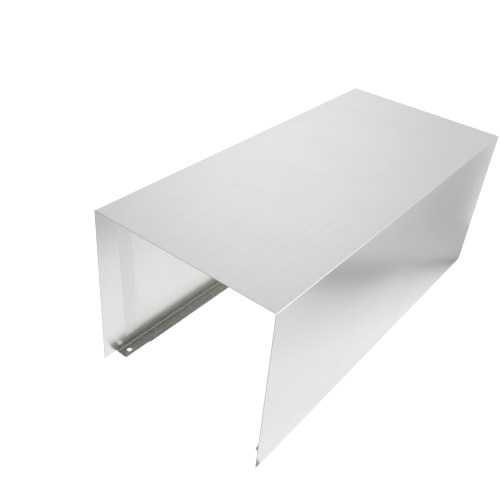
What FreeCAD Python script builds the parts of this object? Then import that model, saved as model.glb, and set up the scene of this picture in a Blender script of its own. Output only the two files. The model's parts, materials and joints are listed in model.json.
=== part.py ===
# Lower chimney section of a cooker hood: one stainless sheet folded into an open-backed channel.
# It lies on its wall side, with the front panel up. X runs across the front panel, +Y along the
# flue towards the end that is uppermost in use, and +Z from the wall out to the front panel.
# The origin is on the wall plane, in the middle of the width and the length.
import FreeCAD
import Part
import math
import os
from FreeCAD import Vector

# Driving dimensions, in millimetres.

# The channel, measured over its outside.
outside_width = 250.0
outside_depth = 228.0
section_length = 558.0

# The sheet and its four folds.
sheet_thickness = 0.7
bend_inner_radius = 0.9

# The flange that turns inwards along the wall edge of each side panel.
# Its width is measured from the outer face of the side panel to the flange's free edge.
flange_width = 19.3
flange_corner_radius = 2.5

# At the lower end the flange is cut back, and the bend with it, so that the side panels
# reach past the flange into the hood. The notch clears the bend by a little.
flange_setback = 21.0
notch_above_bend = 0.8
side_corner_radius = 1.2

# The first stretch of the flange is a tongue, narrower than the rest, that slopes out to full width.
tongue_length = 40.0
tongue_narrowing = 1.6
tongue_slope_length = 4.0

# One screw hole in each tongue.
screw_hole_diameter = 6.6
screw_hole_from_side = 10.2
screw_hole_from_flange_end = 12.7

# How far a cutting tool runs past the metal that it removes.
tool_overrun = 5.0
# Distance within which an edge counts as lying at a given place.
place_tolerance = 0.01

half_width = outside_width / 2
lower_end = -section_length / 2
upper_end = section_length / 2
flange_end = lower_end + flange_setback
tongue_width = flange_width - tongue_narrowing
notch_top = sheet_thickness + bend_inner_radius + notch_above_bend


def rounded_face(corners):
    """Flat face inside a loop of (point, radius) corners; a radius makes the corner a tangent arc."""
    points = [point for point, radius in corners]
    starts = []
    finishes = []
    arcs = []
    for index, (corner, radius) in enumerate(corners):
        back = (points[index - 1] - corner).normalize()
        ahead = (points[(index + 1) % len(points)] - corner).normalize()
        half_angle = back.getAngle(ahead) / 2
        reach = radius / math.tan(half_angle)
        starts.append(corner + back * reach)
        finishes.append(corner + ahead * reach)
        if radius > 0:
            inward = (back + ahead).normalize()
            middle = corner + inward * (radius / math.sin(half_angle) - radius)
            arcs.append(Part.Arc(starts[-1], middle, finishes[-1]).toShape())
    runs = [
        Part.makeLine(finish, starts[(index + 1) % len(starts)])
        for index, finish in enumerate(finishes)
    ]
    return Part.Face(Part.Wire(Part.__sortEdges__(runs + arcs)))


def skin_corners(depth_in, bend_radius):
    """Corners of one skin of the sheet, from the left flange over the front panel to the right flange."""
    side = half_width - depth_in
    free_edge = half_width - flange_width
    front = outside_depth - depth_in
    path = [
        (-free_edge, depth_in, 0.0),
        (-side, depth_in, bend_radius),
        (-side, front, bend_radius),
        (side, front, bend_radius),
        (side, depth_in, bend_radius),
        (free_edge, depth_in, 0.0),
    ]
    return [(Vector(x, lower_end, z), radius) for x, z, radius in path]


def folded_sheet():
    """The full-length channel: the section of the folded sheet, drawn at the lower end and extruded."""
    outer_skin = skin_corners(0.0, bend_inner_radius + sheet_thickness)
    inner_skin = skin_corners(sheet_thickness, bend_inner_radius)
    section = rounded_face(outer_skin + inner_skin[::-1])
    return section.extrude(Vector(0, section_length, 0))


def flange_notch():
    """Tool that cuts the left flange back at the lower end and narrows its tongue."""
    outside = -half_width - tool_overrun
    tongue_edge = -half_width + tongue_width
    inside = -half_width + flange_width + tool_overrun
    slope_start = flange_end + tongue_length
    slope_finish = slope_start + tongue_slope_length * (inside - tongue_edge) / tongue_narrowing
    plan = [
        (outside, lower_end - tool_overrun),
        (outside, flange_end),
        (tongue_edge, flange_end),
        (tongue_edge, slope_start),
        (inside, slope_finish),
        (inside, lower_end - tool_overrun),
    ]
    outline = rounded_face([(Vector(x, y, -tool_overrun), 0.0) for x, y in plan])
    return outline.extrude(Vector(0, 0, tool_overrun + notch_top))


def screw_hole():
    """Tool for the screw hole in the left tongue."""
    centre = Vector(
        -half_width + screw_hole_from_side, flange_end + screw_hole_from_flange_end, -tool_overrun
    )
    return Part.makeCylinder(screw_hole_diameter / 2, sheet_thickness + 2 * tool_overrun, centre)


def both_sides(tool):
    """The tool for the left side and its mirror image for the right side."""
    return [tool, tool.mirror(Vector(0, 0, 0), Vector(1, 0, 0))]


def round_corner(sheet, radius, x, y, z):
    """Rounds the short edge through the sheet whose middle is at x, y, z, and its mirror image."""
    places = [Vector(x, y, z), Vector(-x, y, z)]
    edges = [
        edge
        for edge in sheet.Edges
        if any(edge.CenterOfMass.distanceToPoint(place) < place_tolerance for place in places)
    ]
    return sheet.makeFillet(radius, edges)


def chimney_section():
    """The finished sheet: folded, notched, pierced and with its free corners rounded."""
    sheet = folded_sheet()
    for tool in both_sides(flange_notch()) + both_sides(screw_hole()):
        sheet = sheet.cut(tool)
    mid_sheet = sheet_thickness / 2
    free_edge = half_width - flange_width
    tongue_edge = half_width - tongue_width
    sheet = round_corner(sheet, flange_corner_radius, tongue_edge, flange_end, mid_sheet)
    sheet = round_corner(sheet, flange_corner_radius, free_edge, upper_end, mid_sheet)
    sheet = round_corner(sheet, side_corner_radius, half_width - mid_sheet, lower_end, notch_top)
    return sheet.Solids[0]


os.makedirs("parts", exist_ok=True)
section = chimney_section()
box = section.BoundBox
print("chimney_section", section.ShapeType, "valid", section.isValid(), "solids", len(section.Solids))
print(f"size {box.XLength:.2f} x {box.YLength:.2f} x {box.ZLength:.2f} mm, volume {section.Volume:.0f} mm3")
section.exportStep("parts/chimney_section.step")
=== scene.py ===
# %% [markdown]
# # A folded stainless chimney section
# The object is one sheet of stainless steel: cut flat, pierced, brushed and folded into a channel that
# hides a cooker hood's duct. This lesson makes it the same way. A flat blank is drawn and cut, folded
# along its bend lines, given its thickness, and then finished with three related steels: the satin
# outside, the duller inside and the grey sheared edge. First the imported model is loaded. It gives the
# outer sizes and the places of the screw holes.

# %% Load the frame
import json
import math

import bpy
from mathutils import Matrix, Vector
from mathutils.geometry import delaunay_2d_cdt


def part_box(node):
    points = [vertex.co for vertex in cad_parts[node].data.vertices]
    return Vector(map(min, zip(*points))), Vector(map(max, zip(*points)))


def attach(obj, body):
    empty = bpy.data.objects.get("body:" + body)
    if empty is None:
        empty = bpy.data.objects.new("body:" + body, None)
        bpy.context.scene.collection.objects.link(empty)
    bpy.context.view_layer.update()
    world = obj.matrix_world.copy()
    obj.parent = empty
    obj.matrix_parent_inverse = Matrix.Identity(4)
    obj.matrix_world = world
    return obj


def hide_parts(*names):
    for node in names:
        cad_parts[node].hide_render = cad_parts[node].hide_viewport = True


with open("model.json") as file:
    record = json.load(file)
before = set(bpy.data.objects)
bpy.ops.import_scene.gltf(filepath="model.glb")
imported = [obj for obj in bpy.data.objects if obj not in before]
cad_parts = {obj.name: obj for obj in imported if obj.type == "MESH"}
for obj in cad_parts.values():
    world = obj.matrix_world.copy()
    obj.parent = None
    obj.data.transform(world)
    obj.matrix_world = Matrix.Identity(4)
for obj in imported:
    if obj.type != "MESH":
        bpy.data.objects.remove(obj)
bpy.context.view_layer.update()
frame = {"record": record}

low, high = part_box("chimney_section")
WIDTH = high.x - low.x
LENGTH = high.y - low.y
DEPTH = high.z - low.z
print(f"channel {WIDTH * 1000:.1f} wide, {LENGTH * 1000:.1f} long, {DEPTH * 1000:.1f} deep, in mm")

# %% [markdown]
# ## The camera
# The picture to match was taken from the right, above the open lower end, with the camera tipped a
# little. One could place a camera by eye, but the corners where straight edges meet fix it to within a
# pixel, so its angles, place and focal length are worked out once and written here as named values.

# %% Place the camera
CAMERA_PLACE = Vector((0.3592, -0.6602, 0.6080))
CAMERA_AZIMUTH = math.radians(35.386)
CAMERA_ELEVATION = math.radians(34.955)
CAMERA_ROLL = math.radians(5.570)
CAMERA_LENS = 46.18
CAMERA_SENSOR = 36.0


def camera_axes(azimuth, elevation, roll):
    """The camera's right, up and backward directions; azimuth 0 looks along +Y."""
    back = Vector((
        math.sin(azimuth) * math.cos(elevation),
        -math.cos(azimuth) * math.cos(elevation),
        math.sin(elevation),
    ))
    level = Vector((math.cos(azimuth), math.sin(azimuth), 0.0))
    upright = back.cross(level)
    right = level * math.cos(roll) + upright * math.sin(roll)
    return right, back.cross(right), back


camera = bpy.data.objects.new("camera", bpy.data.cameras.new("camera"))
camera.data.lens = CAMERA_LENS
camera.data.sensor_width = CAMERA_SENSOR
turn = Matrix(camera_axes(CAMERA_AZIMUTH, CAMERA_ELEVATION, CAMERA_ROLL)).transposed()
camera.matrix_world = Matrix.Translation(CAMERA_PLACE) @ turn.to_4x4()
bpy.context.scene.collection.objects.link(camera)
bpy.context.scene.camera = camera
print("camera at", [round(v, 4) for v in camera.matrix_world.translation])

# %% [markdown]
# ## The blank
# Before folding, the sheet is flat. Its width is the length of the line through the middle of the
# metal, along flange, side, front, side and flange, with a quarter turn at each of the four folds.
# The lower end has a notch on each side that takes the flange and its bend away. Either skin could be
# unrolled instead, but measuring along the middle of the sheet keeps both skins at their true radii
# when thickness is added later.

# %% Measure the blank
SHEET = 0.0007
BEND_INNER = 0.0009
FLANGE = 0.0193

BEND_OUTER = BEND_INNER + SHEET
BEND_MIDDLE = BEND_INNER + SHEET / 2
flange_flat = FLANGE - BEND_OUTER
side_flat = DEPTH - 2 * BEND_OUTER
front_flat = WIDTH - 2 * BEND_OUTER
bend_run = BEND_MIDDLE * math.pi / 2
flats = [flange_flat, side_flat, front_flat, side_flat, flange_flat]
bend_starts = [sum(flats[:count]) + bend_run * (count - 1) for count in range(1, len(flats))]
BLANK_WIDTH = sum(flats) + bend_run * len(bend_starts)
print(f"blank {BLANK_WIDTH * 1000:.1f} x {LENGTH * 1000:.1f} mm")
print("bends start at", [round(start * 1000, 2) for start in bend_starts], "mm across it")

# %% [markdown]
# ## The cut outline
# A press cuts the outline and the two screw holes. Corners that a press would round are arcs. Every
# corner could be listed, but the outline is given for the left half and mirrored, so that both halves
# are the same sheet. The places and the radius of the holes come from the frame's own record of its
# mounts.

# %% Draw the outline
ARC_STEPS = 10
FLANGE_CORNER = 0.0025
FLANGE_SETBACK = 0.021
NOTCH_ABOVE_BEND = 0.0008
SIDE_CORNER = 0.0012
TONGUE_LENGTH = 0.040
TONGUE_NARROWING = 0.0016
TONGUE_SLOPE = 0.004


def rounded_corner(before, corner, after, radius):
    """Points of an arc that rounds a corner of a flat outline, or the corner itself if it is sharp."""
    if radius == 0:
        return [corner]
    back = (before - corner).normalized()
    ahead = (after - corner).normalized()
    half_angle = back.angle(ahead) / 2
    centre = corner + (back + ahead).normalized() * (radius / math.sin(half_angle))
    first = corner + back * (radius / math.tan(half_angle)) - centre
    last = corner + ahead * (radius / math.tan(half_angle)) - centre
    sweep = first.angle_signed(last)
    turns = [-sweep * step / ARC_STEPS for step in range(ARC_STEPS + 1)]
    return [centre + Matrix.Rotation(angle, 2) @ first for angle in turns]


def rounded_outline(corners):
    """Closed outline through corners of (point, radius)."""
    points = [point for point, radius in corners]
    outline = []
    for index, (corner, radius) in enumerate(corners):
        following = points[(index + 1) % len(points)]
        outline += rounded_corner(points[index - 1], corner, following, radius)
    return outline


foot = flange_flat + bend_run + NOTCH_ABOVE_BEND
slope_start = FLANGE_SETBACK + TONGUE_LENGTH
left_corners = [
    ((foot, 0.0), SIDE_CORNER),
    ((foot, FLANGE_SETBACK), 0.0),
    ((TONGUE_NARROWING, FLANGE_SETBACK), FLANGE_CORNER),
    ((TONGUE_NARROWING, slope_start), 0.0),
    ((0.0, slope_start + TONGUE_SLOPE), 0.0),
    ((0.0, LENGTH), FLANGE_CORNER),
]
left_half = [(Vector(point), radius) for point, radius in left_corners]
right_half = [
    (Vector((BLANK_WIDTH - point.x, point.y)), radius) for point, radius in reversed(left_half)
]
outline = rounded_outline(left_half + right_half)
print("outline of", len(outline), "points")

# %% Draw the screw holes
HOLE_STEPS = 72

screws = next(mount for mount in frame["record"]["mounts"] if mount["name"] == "flange_screws")
HOLE_RADIUS = screws["dims"]["hole_r_mm"] / 1000
hole_from_side = (WIDTH - screws["dims"]["spacing_x_mm"] / 1000) / 2
hole_along = screws["pos_m"][1] - low.y
hole_centres = [
    Vector((FLANGE - hole_from_side, hole_along)),
    Vector((BLANK_WIDTH - FLANGE + hole_from_side, hole_along)),
]


def ring(centre, radius, steps):
    """Points evenly spaced round a circle."""
    angles = [2 * math.pi * step / steps for step in range(steps)]
    return [centre + Vector((math.cos(angle), math.sin(angle))) * radius for angle in angles]


holes = [ring(centre, HOLE_RADIUS, HOLE_STEPS) for centre in hole_centres]
print(len(holes), f"holes of {HOLE_RADIUS * 2000:.1f} mm")

# %% [markdown]
# ## From outline to triangles
# A folded face could be built panel by panel, but then the notch, the tongue and the holes all have to
# be fitted by hand. Instead the outline, the holes and the bend lines are given as fixed edges to a
# Delaunay triangulation, which fills the rest. Each bend is a bundle of close lines, so that it comes
# out round. A loose grid of points over the large panels lets them bow a little later, and closer rows
# at the foot of the left side let it swell.

# %% Set out the fixed edges
BEND_STEPS = 10
BEND_OVERRUN = 0.002


def loop_edges(first, count):
    """Edges that close a loop of points numbered from first."""
    return [(first + step, first + (step + 1) % count) for step in range(count)]


points = []
fixed_edges = []
for loop in [outline] + holes:
    fixed_edges += loop_edges(len(points), len(loop))
    points += loop
for bend_index, bend_start in enumerate(bend_starts):
    at_flange = bend_index in (0, len(bend_starts) - 1)
    line_start = FLANGE_SETBACK if at_flange else 0.0
    for step in range(BEND_STEPS + 1):
        across = bend_start + bend_run * step / BEND_STEPS
        fixed_edges.append((len(points), len(points) + 1))
        points.append(Vector((across, line_start - BEND_OVERRUN)))
        points.append(Vector((across, LENGTH + BEND_OVERRUN)))
print(len(fixed_edges), "fixed edges")

# %% Set out the loose points
GRID = 0.014
GRID_MARGIN = 0.004
# Heights above the flange's fold of the closer rows on the left side.
FOOT_ROWS = [0.0, 0.002, 0.006, 0.009, 0.012, 0.015, 0.021, 0.024, 0.028]


def panel_spans():
    """Start and end, across the blank, of each of its flats."""
    starts = [0.0] + [start + bend_run for start in bend_starts]
    return [(start, start + flat) for start, flat in zip(starts, flats)]


def spread(start, end):
    """Evenly spaced places inside a span, about GRID apart and clear of both ends."""
    clear_run = end - start - 2 * GRID_MARGIN
    count = max(1, round(clear_run / GRID))
    return [start + GRID_MARGIN + clear_run * step / count for step in range(count + 1)]


along_places = spread(0.0, LENGTH)
for start, end in panel_spans()[1:-1]:
    points += [Vector((across, along)) for across in spread(start, end) for along in along_places]
left_foot = bend_starts[0] + bend_run
points += [Vector((left_foot + row, along)) for row in FOOT_ROWS for along in along_places]
print(len(points), "points set out")

# %% Cut the blank into triangles
INSIDE_THE_OUTLINE = 1
MERGE_WITHIN = 1e-7
# A triangle belongs to a hole if its middle is nearer than this share of the radius. The thinnest one,
# between three neighbouring points of the rim, has its middle at 0.9975 of it.
WITHIN_RIM = 0.9983

cut = delaunay_2d_cdt(points, fixed_edges, [], INSIDE_THE_OUTLINE, MERGE_WITHIN)
cut_points, cut_faces = cut[0], cut[2]


def in_a_hole(face):
    """True if a triangle lies inside one of the screw holes."""
    middle = sum((cut_points[index] for index in face), Vector((0.0, 0.0))) / len(face)
    return any((middle - centre).length < HOLE_RADIUS * WITHIN_RIM for centre in hole_centres)


cut_faces = [face for face in cut_faces if not in_a_hole(face)]
kept = sorted({index for face in cut_faces for index in face})
renumbered = {old: new for new, old in enumerate(kept)}
flat_points = [cut_points[index] for index in kept]
flat_faces = [[renumbered[index] for index in face] for face in cut_faces]
print(len(flat_points), "points and", len(flat_faces), "triangles in the flat blank")

# %% [markdown]
# ## Folding
# Folding is a walk along the section: straight over each flat, and round a quarter turn to the right at
# each bend. A point of the blank ends up where that walk takes it. Bones or a bend modifier could fold
# the sheet too, but the walk gives exact radii and keeps the blank's flat coordinates, in which the
# finish is drawn later. Thin sheet is never quite flat, and a mirror-like face shows it, so each large
# panel also bows inwards by a fraction of a millimetre, and the foot of the left side swells inwards
# beside its fold, where the press let it spring back.

# %% Walk along the section
SECTION_START = Vector((low.x + FLANGE, low.z + SHEET / 2))
START_HEADING = math.pi


def walk(across):
    """Place (x, z) and heading after walking this far along the folded section."""
    place = SECTION_START.copy()
    heading = START_HEADING
    left_to_go = across
    for index, flat in enumerate(flats):
        step = min(left_to_go, flat)
        place += Vector((math.cos(heading), math.sin(heading))) * step
        left_to_go -= step
        if left_to_go <= 0 or index == len(bend_starts):
            break
        turned = min(left_to_go, bend_run) / BEND_MIDDLE
        chord_heading = heading - turned / 2
        chord = 2 * BEND_MIDDLE * math.sin(turned / 2)
        place += Vector((math.cos(chord_heading), math.sin(chord_heading))) * chord
        heading -= turned
        left_to_go -= min(left_to_go, bend_run)
        if left_to_go <= 0:
            break
    return place, heading


print("the walk ends at", [round(v * 1000, 2) for v in walk(BLANK_WIDTH)[0]], "mm")

# %% Let the panels bow and the foot swell
PANEL_BOW = 0.00035
BOW_MEAN = 0.7
BOW_RIPPLE = 0.3
RIPPLES_ACROSS = 5.1
RIPPLES_ALONG = 7.3
SPRING_BACK = 0.0005
SPRING_CREST = 0.010
SPRING_REACH = 0.032
SPRING_FROM = 0.030
SPRING_FULL = 0.080


def bow(across, along):
    """How far a large panel bows inwards at a place on the blank; nothing at its folds and ends."""
    for start, end in panel_spans()[1:-1]:
        if start < across < end:
            over = (across - start) / (end - start)
            up = along / LENGTH
            ripple = BOW_MEAN + BOW_RIPPLE * math.sin(RIPPLES_ACROSS * over + RIPPLES_ALONG * up)
            return PANEL_BOW * ripple * (math.sin(math.pi * over) * math.sin(math.pi * up)) ** 2
    return 0.0


def eased(value, start, end):
    """0 before start, 1 after end and a smooth rise between them."""
    share = max(0.0, min(1.0, (value - start) / (end - start)))
    return share * share * (3 - 2 * share)


def spring(across, along):
    """How far the foot of the left side stands in beside its fold; nothing near the two ends."""
    height = across - left_foot
    crest = eased(height, 0.0, SPRING_CREST) - eased(height, SPRING_CREST, SPRING_REACH)
    lower = eased(along, SPRING_FROM, SPRING_FULL)
    upper = eased(LENGTH - along, SPRING_FROM, SPRING_FULL)
    return SPRING_BACK * crest * lower * upper


print(f"panels bow by up to {PANEL_BOW * 1000:.2f} mm, the foot swells by {SPRING_BACK * 1000:.2f} mm")

# %% Fold the blank


def folded(point):
    """Where a point of the flat blank lies on the folded sheet."""
    place, heading = walk(point.x)
    inward = Vector((math.sin(heading), -math.cos(heading)))
    place += inward * (bow(point.x, point.y) + spring(point.x, point.y))
    return Vector((place.x, low.y + point.y, place.y))


mesh = bpy.data.meshes.new("chimney_sheet")
mesh.from_pydata([folded(point) for point in flat_points], [], flat_faces)
blank_map = mesh.uv_layers.new(name="blank")
for corner in mesh.loops:
    blank_map.uv[corner.index].vector = flat_points[corner.vertex_index]
mesh.shade_smooth()
sheet = bpy.data.objects.new("chimney_sheet", mesh)
bpy.context.scene.collection.objects.link(sheet)
print("folded to", [round(v * 1000, 2) for v in sheet.dimensions], "mm along the middle of the sheet")

# %% [markdown]
# ## Thickness and edges
# The sheet is 0.7 mm thick, and its cut edge shows as a fine grey line. Both skins could be folded one
# by one, but Solidify grows the sheet evenly to both sides and gives its inside and its rim their own
# material slots. A shear leaves a slightly rounded edge, which catches the light, so a small bevel
# follows. Weighted normals keep the panels flat in the light right up to each bend.

# %% Give the sheet its thickness
INSIDE_SLOT = 1
RIM_SLOT = 2
EDGE_ROUND = 0.00012
EDGE_SEGMENTS = 2
SHARP_ANGLE = math.radians(50)
FAVOUR_LARGE_FACES = 100

thickness = sheet.modifiers.new("thickness", "SOLIDIFY")
thickness.thickness = SHEET
thickness.offset = 0.0
thickness.use_even_offset = True
thickness.material_offset = INSIDE_SLOT
thickness.material_offset_rim = RIM_SLOT
rounding = sheet.modifiers.new("sheared edge", "BEVEL")
rounding.width = EDGE_ROUND
rounding.segments = EDGE_SEGMENTS
rounding.limit_method = "ANGLE"
rounding.angle_limit = SHARP_ANGLE
normals = sheet.modifiers.new("flat panels", "WEIGHTED_NORMAL")
normals.weight = FAVOUR_LARGE_FACES
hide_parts("chimney_section")
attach(sheet, "root")
shown = sheet.evaluated_get(bpy.context.evaluated_depsgraph_get())
print(len(shown.data.polygons), "faces with thickness and rounded edges")

# %% [markdown]
# ## Brushed grain
# Satin stainless is brushed along the sheet with a fine belt before it is cut and folded. The lines
# could be drawn with a wave pattern, but real ones never repeat, so they are noise, drawn out far along
# the sheet. The grain follows the blank, over every fold, so it is made in the blank's own flat
# coordinates. The group puts out fine lines and the broader bands that a worn belt leaves. All three
# steels use it. A few helpers come first, to keep the node work readable.

# %% Write helpers for nodes
FLOAT = "NodeSocketFloat"
VECTOR = "NodeSocketVector"


def add_node(tree, kind, **settings):
    """A new node in a tree, with its properties set by name."""
    node = tree.nodes.new(kind)
    for name, value in settings.items():
        setattr(node, name, value)
    return node


def set_inputs(node, **values):
    """Sets a node's inputs by name, with underscores for spaces."""
    for name, value in values.items():
        node.inputs[name.replace("_", " ")].default_value = value


def new_group(name, inputs, outputs):
    """A shader node group with float outputs, and its input and output nodes."""
    group = bpy.data.node_groups.new(name, "ShaderNodeTree")
    for socket, kind in inputs.items():
        group.interface.new_socket(name=socket, in_out="INPUT", socket_type=kind)
    for socket in outputs:
        group.interface.new_socket(name=socket, in_out="OUTPUT", socket_type=FLOAT)
    return group, group.nodes.new("NodeGroupInput"), group.nodes.new("NodeGroupOutput")


def remap(tree, value, from_low, from_high, to_low, to_high, smooth=False):
    """A value carried from one range to another and held inside it."""
    kind = "SMOOTHSTEP" if smooth else "LINEAR"
    node = add_node(tree, "ShaderNodeMapRange", interpolation_type=kind)
    set_inputs(node, From_Min=from_low, From_Max=from_high, To_Min=to_low, To_Max=to_high)
    tree.links.new(value, node.inputs["Value"])
    return node.outputs["Result"]


# %% Make the grain group
NOISE_ROUGHNESS = 0.6
LINE_DETAIL = 3.0
BAND_DETAIL = 2.0
# The noise stays between these two nearly everywhere.
NOISE_LOW = 0.3
NOISE_HIGH = 0.7


def stretched_noise(tree, coordinate, width, length, detail):
    """Noise whose features are width by length in the blank's flat coordinates."""
    cell = add_node(tree, "ShaderNodeCombineXYZ")
    cell.inputs["Z"].default_value = 1.0
    tree.links.new(width, cell.inputs["X"])
    tree.links.new(length, cell.inputs["Y"])
    scaled = add_node(tree, "ShaderNodeVectorMath", operation="DIVIDE")
    tree.links.new(coordinate, scaled.inputs[0])
    tree.links.new(cell.outputs["Vector"], scaled.inputs[1])
    noise = add_node(tree, "ShaderNodeTexNoise", noise_dimensions="2D")
    set_inputs(noise, Scale=1.0, Detail=detail, Roughness=NOISE_ROUGHNESS)
    tree.links.new(scaled.outputs["Vector"], noise.inputs["Vector"])
    return noise.outputs["Fac"]


grain_group, entry, leave = new_group(
    "brushed grain",
    {"Blank": VECTOR, "Line Width": FLOAT, "Line Length": FLOAT, "Band Width": FLOAT, "Band Length": FLOAT},
    ["Lines", "Bands"],
)
for mark, detail in (("Line", LINE_DETAIL), ("Band", BAND_DETAIL)):
    width, length = entry.outputs[mark + " Width"], entry.outputs[mark + " Length"]
    noise = stretched_noise(grain_group, entry.outputs["Blank"], width, length, detail)
    spread_out = remap(grain_group, noise, NOISE_LOW, NOISE_HIGH, 0.0, 1.0)
    grain_group.links.new(spread_out, leave.inputs[mark + "s"])
print("grain group with", len(grain_group.nodes), "nodes")

# %% [markdown]
# ## Handling marks
# Steel that has been carried and wiped shows faint cloudy smears where the film on it is a little
# thicker. They dull the reflection more than they change the colour. They could be painted by hand on
# each panel, but soft noise gives them to the whole sheet at once. The group puts out one mask, and each
# steel decides how strongly to use it.

# %% Make the smear group
CLOUD_DETAIL = 4.0
CLOUD_START = 0.45
CLOUD_FULL = 0.75

smear_group, entry, leave = new_group("handling smears", {"Blank": VECTOR, "Patch": FLOAT}, ["Smear"])
patch = entry.outputs["Patch"]
clouds = stretched_noise(smear_group, entry.outputs["Blank"], patch, patch, CLOUD_DETAIL)
smears = remap(smear_group, clouds, CLOUD_START, CLOUD_FULL, 0.0, 1.0, smooth=True)
smear_group.links.new(smears, leave.inputs["Smear"])
print("smear group with", len(smear_group.nodes), "nodes")

# %% [markdown]
# ## Folds and flanges
# A press stretches the sheet at a fold, which breaks up the brushed surface and leaves a rougher line;
# the pale colour along it is a painted highlight of the bend. The turned-in flanges never show once the
# section hangs. Their brownish, streaky darkening is partly a film of press oil and partly painted shade,
# and a painted shade also runs a little way out of the corner and up the side. Each panel could have its
# own material, but then the marks would stop at hard borders. All of them follow from the distance to the
# middle of the blank, so one group makes soft masks for either half of the sheet.

# %% Write helpers for masks


def math_node(tree, operation, first, second):
    """The result of one sum; each side is a socket or a number."""
    node = add_node(tree, "ShaderNodeMath", operation=operation)
    for socket, value in zip(node.inputs, (first, second)):
        if isinstance(value, float):
            socket.default_value = value
        else:
            tree.links.new(value, socket)
    return node.outputs["Value"]


def blank_places(tree, blank):
    """The places across and along the blank, as two sockets."""
    split = add_node(tree, "ShaderNodeSeparateXYZ")
    tree.links.new(blank, split.inputs["Vector"])
    return split.outputs["X"], split.outputs["Y"]


def soft_step(tree, value, place, blur, before, after):
    """A mask that goes smoothly from one number to another where a value passes a place."""
    return remap(tree, value, place - blur, place + blur, before, after, smooth=True)


# %% Make the fold group
MARK_BLUR = 0.0003
# The pale line at the flange's fold is a painted highlight, moved onto the flange and narrowed.
FLANGE_LINE_SHIFT = 0.0015
FLANGE_LINE_SHARE = 0.95
# The darkening of the flanges, part oil film and part painted shade, is half strength at the fold and full
# 7 mm out.
OIL_AND_SHADE_AT_FOLD = 0.5
OIL_AND_SHADE_FULL = 0.007
# Painted shade in the corner above each flange, reaching a little way up the side.
FOOT_SHADE_START = 0.003
FOOT_SHADE_END = 0.010
FOOT_SHADE_BLUR = 0.002

half_bend = bend_run / 2
flange_fold = BLANK_WIDTH / 2 - flange_flat - half_bend
front_fold = front_flat / 2 + half_bend
flange_start = flange_fold + half_bend
side_start = flange_fold - half_bend

fold_group, entry, leave = new_group("folds and flanges", {"Blank": VECTOR}, ["Fold", "Flange", "Foot Shade"])
across_blank, along_blank = blank_places(fold_group, entry.outputs["Blank"])
from_middle = math_node(fold_group, "SUBTRACT", across_blank, BLANK_WIDTH / 2)
from_middle = math_node(fold_group, "ABSOLUTE", from_middle, 0.0)

fold_masks = []
for line_place, half_line in (
    (flange_fold + FLANGE_LINE_SHIFT, FLANGE_LINE_SHARE * half_bend),
    (front_fold, half_bend),
):
    off_line = math_node(fold_group, "SUBTRACT", from_middle, line_place)
    off_line = math_node(fold_group, "ABSOLUTE", off_line, 0.0)
    fold_masks.append(soft_step(fold_group, off_line, half_line, MARK_BLUR, 1.0, 0.0))
fold_group.links.new(math_node(fold_group, "MAXIMUM", *fold_masks), leave.inputs["Fold"])

flange_mask = soft_step(fold_group, from_middle, flange_start, MARK_BLUR, 0.0, 1.0)
oil_and_shade_growth = remap(fold_group, from_middle, flange_start, flange_start + OIL_AND_SHADE_FULL, OIL_AND_SHADE_AT_FOLD, 1.0)
fold_group.links.new(math_node(fold_group, "MULTIPLY", flange_mask, oil_and_shade_growth), leave.inputs["Flange"])

# Painted shade in the corner above each flange: darkest near the fold and fading up the side.
foot_shade_top, foot_shade_bottom = side_start - FOOT_SHADE_END, side_start - FOOT_SHADE_START
foot_shade_mask = remap(fold_group, from_middle, foot_shade_top, foot_shade_bottom, 0.0, 1.0, smooth=True)
foot_shade_mask = math_node(fold_group, "SUBTRACT", foot_shade_mask, flange_mask)
past_notch = remap(fold_group, along_blank, FLANGE_SETBACK, FLANGE_SETBACK + FOOT_SHADE_BLUR, 0.0, 1.0)
fold_group.links.new(math_node(fold_group, "MULTIPLY", foot_shade_mask, past_notch), leave.inputs["Foot Shade"])
print("fold group with", len(fold_group.nodes), "nodes")

# %% [markdown]
# ## The three steels
# The sheet is one steel with three finishes: satin outside, plainer inside and rough on the sheared
# edge. Each could be set up by hand, but one recipe makes all three: metallic, with the grain and the
# smears driving colour, roughness and a very shallow bump. What differs is how bright, how smooth and
# how strongly brushed each is. The highlight of brushed steel spreads across the grain, so the shader's
# tangent runs across the blank.

# %% Write the recipe for steel
BUMP_DEPTH = 0.00001
BANDS_IN_TONE = 0.6
LINES_IN_DULLNESS = 0.5


def open_material(material):
    """A material's node tree, its shader and the blank's flat coordinates."""
    tree = material.node_tree
    blank = add_node(tree, "ShaderNodeUVMap", uv_map="blank").outputs["UV"]
    return tree, tree.nodes["Principled BSDF"], blank


def place_group(tree, group, blank, **values):
    """A copy of a node group in a material, fed with the blank's coordinates and its own values."""
    node = add_node(tree, "ShaderNodeGroup", node_tree=group)
    set_inputs(node, **values)
    tree.links.new(blank, node.inputs["Blank"])
    return node


def two_marks(tree, first, first_share, second):
    """Two masks added up, the first by its share and the second by the rest."""
    node = add_node(tree, "ShaderNodeMath", operation="MULTIPLY_ADD")
    node.inputs[1].default_value = first_share
    tree.links.new(first, node.inputs[0])
    tree.links.new(remap(tree, second, 0.0, 1.0, 0.0, 1.0 - first_share), node.inputs[2])
    return node.outputs["Value"]


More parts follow.
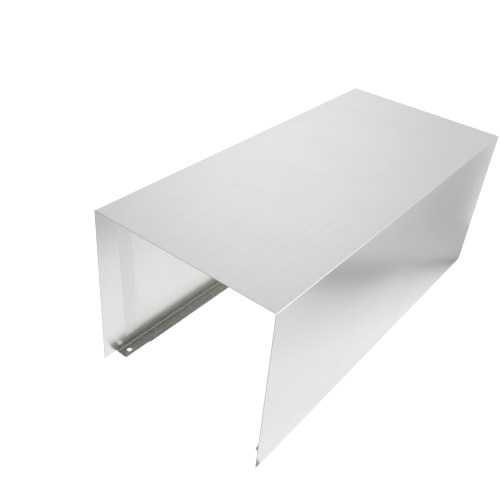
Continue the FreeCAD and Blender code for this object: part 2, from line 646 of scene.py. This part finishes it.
def steel(name, light, dark, roughness, brushed, bump, grain, patch):
    """A brushed steel between two colours and two roughnesses."""
    material = bpy.data.materials.new(name)
    material.use_nodes = True
    tree, shader, blank = open_material(material)
    set_inputs(shader, Metallic=1.0, Anisotropic=brushed)
    across = add_node(tree, "ShaderNodeTangent", direction_type="UV_MAP", uv_map="blank")
    tree.links.new(across.outputs["Tangent"], shader.inputs["Tangent"])
    marks = place_group(tree, grain_group, blank, **grain)
    smear = place_group(tree, smear_group, blank, Patch=patch).outputs["Smear"]
    colour = add_node(tree, "ShaderNodeMix", data_type="RGBA")
    colour.inputs["A"].default_value = (*light, 1.0)
    colour.inputs["B"].default_value = (*dark, 1.0)
    tone = two_marks(tree, marks.outputs["Bands"], BANDS_IN_TONE, smear)
    tree.links.new(tone, colour.inputs["Factor"])
    tree.links.new(colour.outputs["Result"], shader.inputs["Base Color"])
    dullness = two_marks(tree, marks.outputs["Lines"], LINES_IN_DULLNESS, smear)
    tree.links.new(remap(tree, dullness, 0.0, 1.0, *roughness), shader.inputs["Roughness"])
    scored = add_node(tree, "ShaderNodeBump")
    set_inputs(scored, Strength=bump, Distance=BUMP_DEPTH)
    tree.links.new(marks.outputs["Lines"], scored.inputs["Height"])
    tree.links.new(scored.outputs["Normal"], shader.inputs["Normal"])
    return material


# %% Mix the steels
FINE_GRAIN = {"Line_Width": 0.0004, "Line_Length": 0.06, "Band_Width": 0.006, "Band_Length": 0.5}
COARSE_GRAIN = {"Line_Width": 0.0006, "Line_Length": 0.04, "Band_Width": 0.005, "Band_Length": 0.3}

outside_steel = steel(
    "satin outside", light=(0.682, 0.679, 0.690), dark=(0.665, 0.662, 0.673),
    roughness=(0.19, 0.23), brushed=0.7, bump=0.1, grain=FINE_GRAIN, patch=0.05,
)
# The inside is a shade lighter than the outside: painted light that brightens the inside of the channel.
# Its rougher, coarser grain is its own.
inside_steel = steel(
    "plain inside", light=(0.727, 0.726, 0.714), dark=(0.707, 0.706, 0.694),
    roughness=(0.22, 0.28), brushed=0.75, bump=0.15, grain=COARSE_GRAIN, patch=0.08,
)
edge_steel = steel(
    "sheared edge", light=(0.33, 0.327, 0.32), dark=(0.23, 0.227, 0.222),
    roughness=(0.3, 0.5), brushed=0.0, bump=0.3, grain=COARSE_GRAIN, patch=0.02,
)
for finish in (outside_steel, inside_steel, edge_steel):
    sheet.data.materials.append(finish)
print("steels:", [finish.name for finish in sheet.data.materials])

# %% [markdown]
# ## Press marks and painted light
# The folds are rougher, with a pale painted highlight, and the flanges carry a darkening that is part oil
# film and part painted shade. The masks for that now go over the finished steels. Each mark could be built
# into the recipe for steel, but then the recipe would have to know them all. Instead one helper mixes
# whatever already feeds a socket towards a new colour or number, where a mask says so, and so marks can be
# laid one over another.

# %% Lay the press marks and painted light over the steels
# The flanges' darkening, part oil film and part painted shade, is streaked, patchy and lighter on the
# right.
MILL_STREAKS = {"Line_Width": 0.0008, "Line_Length": 0.03, "Band_Width": 0.002, "Band_Length": 0.12}
STREAKS_LEAVE = 0.6
OIL_AND_SHADE_PATCH = 0.005
PATCHES_LEAVE = 0.5
OIL_AND_SHADE_ON_RIGHT = 0.4


def lay_over(tree, socket, value, mask, blend="MIX"):
    """Mixes what feeds a shader's socket towards a colour or a number by a mask."""
    plain_number = isinstance(value, float)
    mix = add_node(tree, "ShaderNodeMix", data_type="FLOAT" if plain_number else "RGBA")
    if not plain_number:
        mix.blend_type = blend
    mix.inputs["B"].default_value = value if plain_number else (*value, 1.0)
    if socket.is_linked:
        tree.links.new(socket.links[0].from_socket, mix.inputs["A"])
    else:
        mix.inputs["A"].default_value = socket.default_value
    tree.links.new(mask, mix.inputs["Factor"])
    tree.links.new(mix.outputs["Result"], socket)


def flange_oil_and_shade(tree, blank, flange):
    """The mask of the darkening on the flanges, part oil film and part painted shade: streaked along the
    sheet, patchy and lighter on the right.
    """
    across, _ = blank_places(tree, blank)
    streaks = place_group(tree, grain_group, blank, **MILL_STREAKS).outputs["Bands"]
    patches = place_group(tree, smear_group, blank, Patch=OIL_AND_SHADE_PATCH).outputs["Smear"]
    oil_and_shade_mask = flange
    for thinning in (
        remap(tree, streaks, 0.0, 1.0, STREAKS_LEAVE, 1.0),
        remap(tree, patches, 0.0, 1.0, 1.0, PATCHES_LEAVE),
        remap(tree, across, 0.0, BLANK_WIDTH, 1.0, OIL_AND_SHADE_ON_RIGHT),
    ):
        oil_and_shade_mask = math_node(tree, "MULTIPLY", oil_and_shade_mask, thinning)
    return oil_and_shade_mask


def lay_press_marks_and_painted_light(
    material, oil_and_shade_colour, fold_highlight_colour, fold_roughness, fold_highlight_metallic=None, foot_shade_colour=None
):
    """Lays a darkening on the flanges, part oil film and part painted shade, and rougher lines on the folds
    with a pale painted highlight; lays painted shade in the corner above the flange if asked to.
    """
    tree, shader, blank = open_material(material)
    marks = place_group(tree, fold_group, blank)
    # Darken the flanges: part oil film, part painted shade.
    oil_and_shade_mask = flange_oil_and_shade(tree, blank, marks.outputs["Flange"])
    lay_over(tree, shader.inputs["Base Color"], oil_and_shade_colour, oil_and_shade_mask, "MULTIPLY")
    # Painted shade in the corner above the flange.
    if foot_shade_colour:
        lay_over(tree, shader.inputs["Base Color"], foot_shade_colour, marks.outputs["Foot Shade"], "MULTIPLY")
    # The pale colour on the folds is a painted highlight; the added roughness is the press's.
    lay_over(tree, shader.inputs["Base Color"], fold_highlight_colour, marks.outputs["Fold"])
    lay_over(tree, shader.inputs["Roughness"], fold_roughness, marks.outputs["Fold"])
    if fold_highlight_metallic is not None:
        lay_over(tree, shader.inputs["Metallic"], fold_highlight_metallic, marks.outputs["Fold"])
    print(material.name, "now has", len(tree.nodes), "nodes")


# The pale fold colours are painted highlights. The film colours darken the flanges, part oil and part
# painted shade, and the inside's corner gets a painted shade.
lay_press_marks_and_painted_light(
    outside_steel, oil_and_shade_colour=(0.85, 0.84, 0.80), fold_highlight_colour=(0.72, 0.717, 0.722), fold_roughness=0.22
)
lay_press_marks_and_painted_light(
    inside_steel, oil_and_shade_colour=(0.585, 0.573, 0.51), fold_highlight_colour=(0.95, 0.935, 0.89), fold_roughness=0.4,
    fold_highlight_metallic=0.5, foot_shade_colour=(0.58, 0.57, 0.54),
)

# %% [markdown]
# ## A dark corner
# One lower corner of the right side is dark. A dent could be modelled, but the outline of the corner is
# whole, so only the surface is darkened. The darkening starts at a slanting line drawn across that corner
# of the blank and deepens towards the tip, ragged and patchy with the grain.

# %% Darken the corner
DARK_CORNER_HIGH = 0.0218
DARK_CORNER_FAR = 0.0109
DARK_CORNER_FADE = 0.0030
DARK_CORNER_RAGGED = 0.0010
DARK_CORNER_LEAST = 0.8
DARK_CORNER_COLOUR = (0.235, 0.235, 0.245)
DARK_CORNER_ROUGHNESS = 0.42
DARK_CORNER_GRIT = {"Line_Width": 0.0005, "Line_Length": 0.0030, "Band_Width": 0.0022, "Band_Length": 0.0040}

right_foot = bend_starts[-1] + BEND_OUTER
dark_corner_top = Vector((right_foot - DARK_CORNER_HIGH, 0.0, 0.0))
dark_corner_end = Vector((right_foot, DARK_CORNER_FAR, 0.0))
off_corner = Vector((-(dark_corner_end.y - dark_corner_top.y), dark_corner_end.x - dark_corner_top.x, 0.0)).normalized()
dark_corner_line = dark_corner_top.dot(off_corner)

tree, shader, blank = open_material(outside_steel)
beyond = add_node(tree, "ShaderNodeVectorMath", operation="DOT_PRODUCT")
beyond.inputs[1].default_value = off_corner
tree.links.new(blank, beyond.inputs[0])
grit = place_group(tree, grain_group, blank, **DARK_CORNER_GRIT)
ragged = remap(tree, grit.outputs["Lines"], 0.0, 1.0, -DARK_CORNER_RAGGED, DARK_CORNER_RAGGED)
ragged_beyond = math_node(tree, "ADD", beyond.outputs["Value"], ragged)
darkened = remap(tree, ragged_beyond, dark_corner_line - DARK_CORNER_FADE, dark_corner_line, 1.0, 0.0, smooth=True)
patchy = remap(tree, grit.outputs["Bands"], 0.0, 1.0, DARK_CORNER_LEAST, 1.0)
darkened = math_node(tree, "MULTIPLY", darkened, patchy)
# The corner is made darker and rougher past the slanting line.
lay_over(tree, shader.inputs["Base Color"], DARK_CORNER_COLOUR, darkened)
lay_over(tree, shader.inputs["Roughness"], DARK_CORNER_ROUGHNESS, darkened)
print(f"dark corner reaches {DARK_CORNER_HIGH * 1000:.1f} mm up and {DARK_CORNER_FAR * 1000:.1f} mm along the right side")

# %% [markdown]
# ## A tape mark
# Inside the left side, some 35 mm from the lower end, a faint grey strip runs up the panel, a little
# askew, as a strip of packing tape leaves when it is pulled off. It starts short of the flange, and its
# near edge and its lower end are crisp. What it leaves is a thin haze, which veils the mirror image. It
# could be a thin piece of its own, but it has no thickness to see, so it is one more mask on the blank:
# where the mask is, the steel is a little less metallic and scatters some light instead.

# %% Mark where tape has been
TAPE_FROM_END = 0.0377
TAPE_LEAN = 0.0385
TAPE_EDGE = 0.0007
TAPE_FADE_START = 0.0195
TAPE_WIDTH = 0.0235
TAPE_FAR_HAZE = 0.6
TAPE_FOOT = 0.0148
TAPE_COLOUR = (0.82, 0.82, 0.815)
TAPE_METALLIC = 0.25

left_top = bend_starts[1]
tape_end = left_foot + TAPE_FOOT
tree, shader, blank = open_material(inside_steel)
climb, along = blank_places(tree, blank)
leaning = math_node(tree, "MULTIPLY", math_node(tree, "SUBTRACT", climb, left_foot), TAPE_LEAN)
past_edge = math_node(tree, "ADD", along, leaning)
past_edge = math_node(tree, "SUBTRACT", past_edge, TAPE_FROM_END)
taped = soft_step(tree, past_edge, 0.0, TAPE_EDGE, 0.0, 1.0)
for limit in (
    remap(tree, past_edge, TAPE_EDGE, TAPE_WIDTH, 1.0, TAPE_FAR_HAZE),
    remap(tree, past_edge, TAPE_FADE_START, TAPE_WIDTH, 1.0, 0.0, smooth=True),
    soft_step(tree, climb, tape_end, TAPE_EDGE, 0.0, 1.0),
    remap(tree, climb, left_top - MARK_BLUR, left_top + MARK_BLUR, 1.0, 0.0),
):
    taped = math_node(tree, "MULTIPLY", taped, limit)
lay_over(tree, shader.inputs["Base Color"], TAPE_COLOUR, taped)
lay_over(tree, shader.inputs["Metallic"], TAPE_METALLIC, taped)
print(f"tape mark {TAPE_WIDTH * 1000:.1f} mm wide, {TAPE_FROM_END * 1000:.1f} mm from the lower end")

# %% [markdown]
# ## The floor
# Things like this are pictured on a white table that is lit from beneath, so that no shadow falls beside
# them and polished sides mirror plain white. A white floor under strong lamps would do the same, but
# with shadows, so the floor is one large flat sheet that glows evenly. It is set a hair below the
# flanges, so that the two never share a plane.

# %% Lay the floor
FLOOR_SIZE = 14.0
FLOOR_DROP = 0.0003
FLOOR_COLOUR = (0.1, 0.1, 0.1, 1.0)
FLOOR_ROUGHNESS = 0.8
FLOOR_GLOW = 1.05
WHITE = (1.0, 1.0, 1.0, 1.0)

half_floor = FLOOR_SIZE / 2
floor_corners = [
    (across * half_floor, along * half_floor, low.z - FLOOR_DROP)
    for across, along in ((-1, -1), (1, -1), (1, 1), (-1, 1))
]
floor_mesh = bpy.data.meshes.new("floor")
floor_mesh.from_pydata(floor_corners, [], [range(len(floor_corners))])
table_top = bpy.data.materials.new("lit table")
table_top.use_nodes = True
table_shader = table_top.node_tree.nodes["Principled BSDF"]
set_inputs(table_shader, Base_Color=FLOOR_COLOUR, Roughness=FLOOR_ROUGHNESS)
set_inputs(table_shader, Emission_Color=WHITE, Emission_Strength=FLOOR_GLOW)
floor_mesh.materials.append(table_top)
floor = bpy.data.objects.new("floor", floor_mesh)
bpy.context.scene.collection.objects.link(floor)
print("floor", FLOOR_SIZE, "m square")

# %% [markdown]
# ## The sky
# Polished metal shows its surroundings, so the light is most of the finish. Lamps could be hung round
# the section, but steel would mirror each as a hard patch. The sky is a soft grey instead, with three
# gentle glows, as from large diffusers, and one darker side where the room is not lit. The glow behind
# and to the left is mirrored by the front panel as its lighter middle. The one low on the right runs
# along the right-hand fold as a bright line, and the one overhead grades the front panel from above.
# Only the steel sees all this: behind the object the picture is as white as the table.

# %% Make the sky
SKY_BRIGHTNESS = 0.86
# Each glow: degrees left of straight behind, degrees up, half its width in degrees, added brightness.
GLOWS = [
    (35.4, 25.4, 16.0, 0.31),
    (-56.0, 4.0, 25.0, 1.50),
    (100.0, 72.0, 34.0, 0.35),
    (180.0, 15.0, 80.0, -0.42),
]

world = bpy.data.worlds.new("soft sky")
bpy.context.scene.world = world
world.use_nodes = True
sky = world.node_tree
looking = add_node(sky, "ShaderNodeTexCoord").outputs["Generated"]
brightness = SKY_BRIGHTNESS
for left, up, half_width, added in GLOWS:
    around, raised = math.radians(left), math.radians(up)
    towards = add_node(sky, "ShaderNodeVectorMath", operation="DOT_PRODUCT")
    towards.inputs[1].default_value = (
        -math.sin(around) * math.cos(raised), math.cos(around) * math.cos(raised), math.sin(raised)
    )
    sky.links.new(looking, towards.inputs[0])
    rim = math.cos(math.radians(half_width))
    glow = remap(sky, towards.outputs["Value"], rim, 1.0, 0.0, added)
    brightness = math_node(sky, "ADD", glow, brightness)
seen = add_node(sky, "ShaderNodeMix", data_type="FLOAT")
seen.inputs["B"].default_value = FLOOR_GLOW
sky.links.new(add_node(sky, "ShaderNodeLightPath").outputs["Is Camera Ray"], seen.inputs["Factor"])
sky.links.new(brightness, seen.inputs["A"])
sky.nodes["Background"].inputs["Color"].default_value = WHITE
sky.links.new(seen.outputs["Result"], sky.nodes["Background"].inputs["Strength"])
print("sky of", SKY_BRIGHTNESS, "with", len(GLOWS), "glows")

# %% [markdown]
# ## The dim room
# A panel that mirrors nothing but white looks like paper. Round a lit table the room falls away into
# grey, and each side of the section shows that as a shade that deepens towards its top. The walls of a
# room could be built, but the sides only mirror the ground near them, so a sheet of ground with greys
# painted on its points is enough. It is hidden from the camera, and only the steel sees it.

# %% Paint the ground
BLACK = (0.0, 0.0, 0.0, 1.0)

ground_paint = bpy.data.materials.new("ground greys")
ground_paint.use_nodes = True
ground_shader = ground_paint.node_tree.nodes["Principled BSDF"]
# The ground glows with its painted greys, whatever light falls on it: painted light and shade of the room,
# seen in the steel alone.
set_inputs(ground_shader, Base_Color=BLACK, Specular_IOR_Level=0.0, Emission_Strength=1.0)
shade_node = add_node(ground_paint.node_tree, "ShaderNodeVertexColor", layer_name="shade")
ground_paint.node_tree.links.new(shade_node.outputs["Color"], ground_shader.inputs["Emission Color"])
print("ground paint with", len(ground_paint.node_tree.nodes), "nodes")


def shaded_ground(name, points, greys, columns, drop):
    """A sheet of ground in rows and columns with a grey at each point, seen by the steel alone."""
    ground_mesh = bpy.data.meshes.new(name)
    starts = [first for first in range(len(points) - columns) if (first + 1) % columns]
    faces = [(first, first + 1, first + columns + 1, first + columns) for first in starts]
    ground_mesh.from_pydata([(*point, low.z - drop) for point in points], [], faces)
    shade = ground_mesh.color_attributes.new("shade", "FLOAT_COLOR", "POINT")
    for index, grey in enumerate(greys):
        shade.data[index].color = (grey, grey, grey, 1.0)
    ground_mesh.materials.append(ground_paint)
    ground = bpy.data.objects.new(name, ground_mesh)
    bpy.context.scene.collection.objects.link(ground)
    ground.visible_camera = False
    ground.visible_diffuse = False
    ground.visible_shadow = False
    print(name, "of", len(faces), "faces")


# %% Dim the room
# Distance out from the section's foot, in metres, and how bright the ground is there.
ROOM_GREYS = [(0.30, 1.13), (0.60, 0.90), (1.20, 0.62), (3.0, 0.45), (7.0, 0.40)]
ROOM_CORNERS = [(-1, -1), (1, -1), (1, 1), (-1, 1), (-1, -1)]
# The rings of grey lie this much to the right of the section.
ROOM_SHIFT = 0.15
# The room covers the floor, and the cards cover the room, so each lies a little higher.
ROOM_DROP = FLOOR_DROP * 0.8

room_points = [
    (across * (WIDTH / 2 + out) + ROOM_SHIFT, along * (LENGTH / 2 + out))
    for out, _ in ROOM_GREYS
    for across, along in ROOM_CORNERS
]
room_shades = [grey for _, grey in ROOM_GREYS for _ in ROOM_CORNERS]
shaded_ground("dim_room", room_points, room_shades, len(ROOM_CORNERS), ROOM_DROP)

# %% [markdown]
# ## Two grey cards
# The far half of the right side shows a calm grey with a soft slanting edge, which a white table alone
# can't give. The grey could be painted on the steel, but then it would stay there in every view. So two
# cards lie beside the section, hidden from the camera, and the side mirrors them. Each card is a grid:
# a column runs along the side at one distance out, and the card's darkest line slants across the columns.

# %% Lay the first card
# The darkest line: metres out from the side, metres along from the middle, and how bright it is there.
CARD_LINE = [
    (0.0012, 0.273, 0.38), (0.030, 0.241, 0.46), (0.058, 0.212, 0.46), (0.070, 0.177, 0.43),
    (0.084, 0.136, 0.41), (0.137, 0.084, 0.35), (0.175, 0.060, 0.41), (0.215, 0.040, 1.00),
]
CARD_DROP = FLOOR_DROP * 0.6
# Rows before the darkest line: metres past it, and how much of the darkening is gone there.
LEAD_IN = [(-0.62, 0.95), (-0.29, 0.95), (-0.10, 0.68), (-0.045, 0.38), (0.0, 0.0)]
# Rules for how the rows spread and fade: value beside the section, growth per metre out, least and most.
LEAD_SQUEEZE = (0.65, 7.0, 0.65, 1.0)
CORE_RUN = (-0.0986, 1.7, 0.001, 0.045)
CREST_FADED = (0.2, 2.7, 0.2, 0.5)
TAIL_RUN = (-0.12, 4.0, 0.08, 1.0)
TAIL_FADED = (0.36, -5.0, 0.19, 0.36)
CARD_END = (0.242, 3.94, 0.242, 1.2)
CORE_FADED = 0.02
CREST_RUN = 0.024
LEAST_END_RUN = 0.002
END_RUN = 0.036
END_FADED = 0.31


def ruled(rule, out):
    """What a rule gives at a distance out from the side."""
    start, growth, least, most = rule
    return max(least, min(most, start + growth * out))


def card_rows(out, along):
    """Places along a column of the first card and how faded it is there; they spread with distance out."""
    squeeze = ruled(LEAD_SQUEEZE, out)
    core_end = along + ruled(CORE_RUN, out)
    crest = core_end + CREST_RUN
    tail_end = crest + ruled(TAIL_RUN, out)
    tail_faded = ruled(TAIL_FADED, out)
    card_end = max(tail_end + LEAST_END_RUN, ruled(CARD_END, out))
    return [(along + past * squeeze, faded) for past, faded in LEAD_IN] + [
        (core_end, CORE_FADED),
        (crest, ruled(CREST_FADED, out)),
        (tail_end, tail_faded),
        (card_end, tail_faded),
        (card_end + END_RUN, END_FADED),
    ]


def room_grey(out):
    """How bright the ground of the dim room is at a distance from the section."""
    for (near, near_grey), (far, far_grey) in zip(ROOM_GREYS, ROOM_GREYS[1:]):
        if out < far:
            return near_grey + (far_grey - near_grey) * max(0.0, out - near) / (far - near)
    return ROOM_GREYS[-1][1]


def lay_card(name, columns, drop):
    """A grey card beside the right side, from columns of (distance out, darkest grey, rows)."""
    places = []
    greys = []
    for index in range(len(columns[0][2])):
        for out, darkest, rows in columns:
            place, faded = rows[index]
            places.append((high.x + out, place))
            greys.append(darkest + (room_grey(out - ROOM_SHIFT) - darkest) * faded)
    shaded_ground(name, places, greys, len(columns), drop)


card_columns = [(out, darkest, card_rows(out, along)) for out, along, darkest in CARD_LINE]
lay_card("grey_card", card_columns, CARD_DROP)

# %% Lay the second card
# Its darkest line and its rows past that line are given as for the first card.
SECOND_LINE = [
    (0.16, -0.16, 1.00), (0.22, -0.12, 0.60), (0.42, 0.0, 0.55), (0.80, 0.20, 0.60), (1.40, 0.40, 0.60),
]
SECOND_ROWS = [(-1.2, 1.0), (-0.5, 0.4), (-0.1, 0.0), (0.0, 0.3), (0.06, 1.0)]
SECOND_DROP = FLOOR_DROP * 0.7

second_columns = [
    (out, darkest, [(along + past, faded) for past, faded in SECOND_ROWS])
    for out, along, darkest in SECOND_LINE
]
lay_card("second_card", second_columns, SECOND_DROP)

# %% [markdown]
# ## Bounces and plain colour
# Inside a bright channel, light goes to and fro between the panels many times. The corners could be
# lightened with a paler steel, but they are right by themselves if enough bounces are allowed. The
# Standard view shows each tone as it is, so that the white table stays white.

# %% Set the bounces and the view
ALL_BOUNCES = 20
MIRROR_BOUNCES = 16

bpy.context.scene.cycles.max_bounces = ALL_BOUNCES
bpy.context.scene.cycles.glossy_bounces = MIRROR_BOUNCES
bpy.context.scene.view_settings.view_transform = "Standard"
print("up to", ALL_BOUNCES, "bounces,", MIRROR_BOUNCES, "of them mirrored")
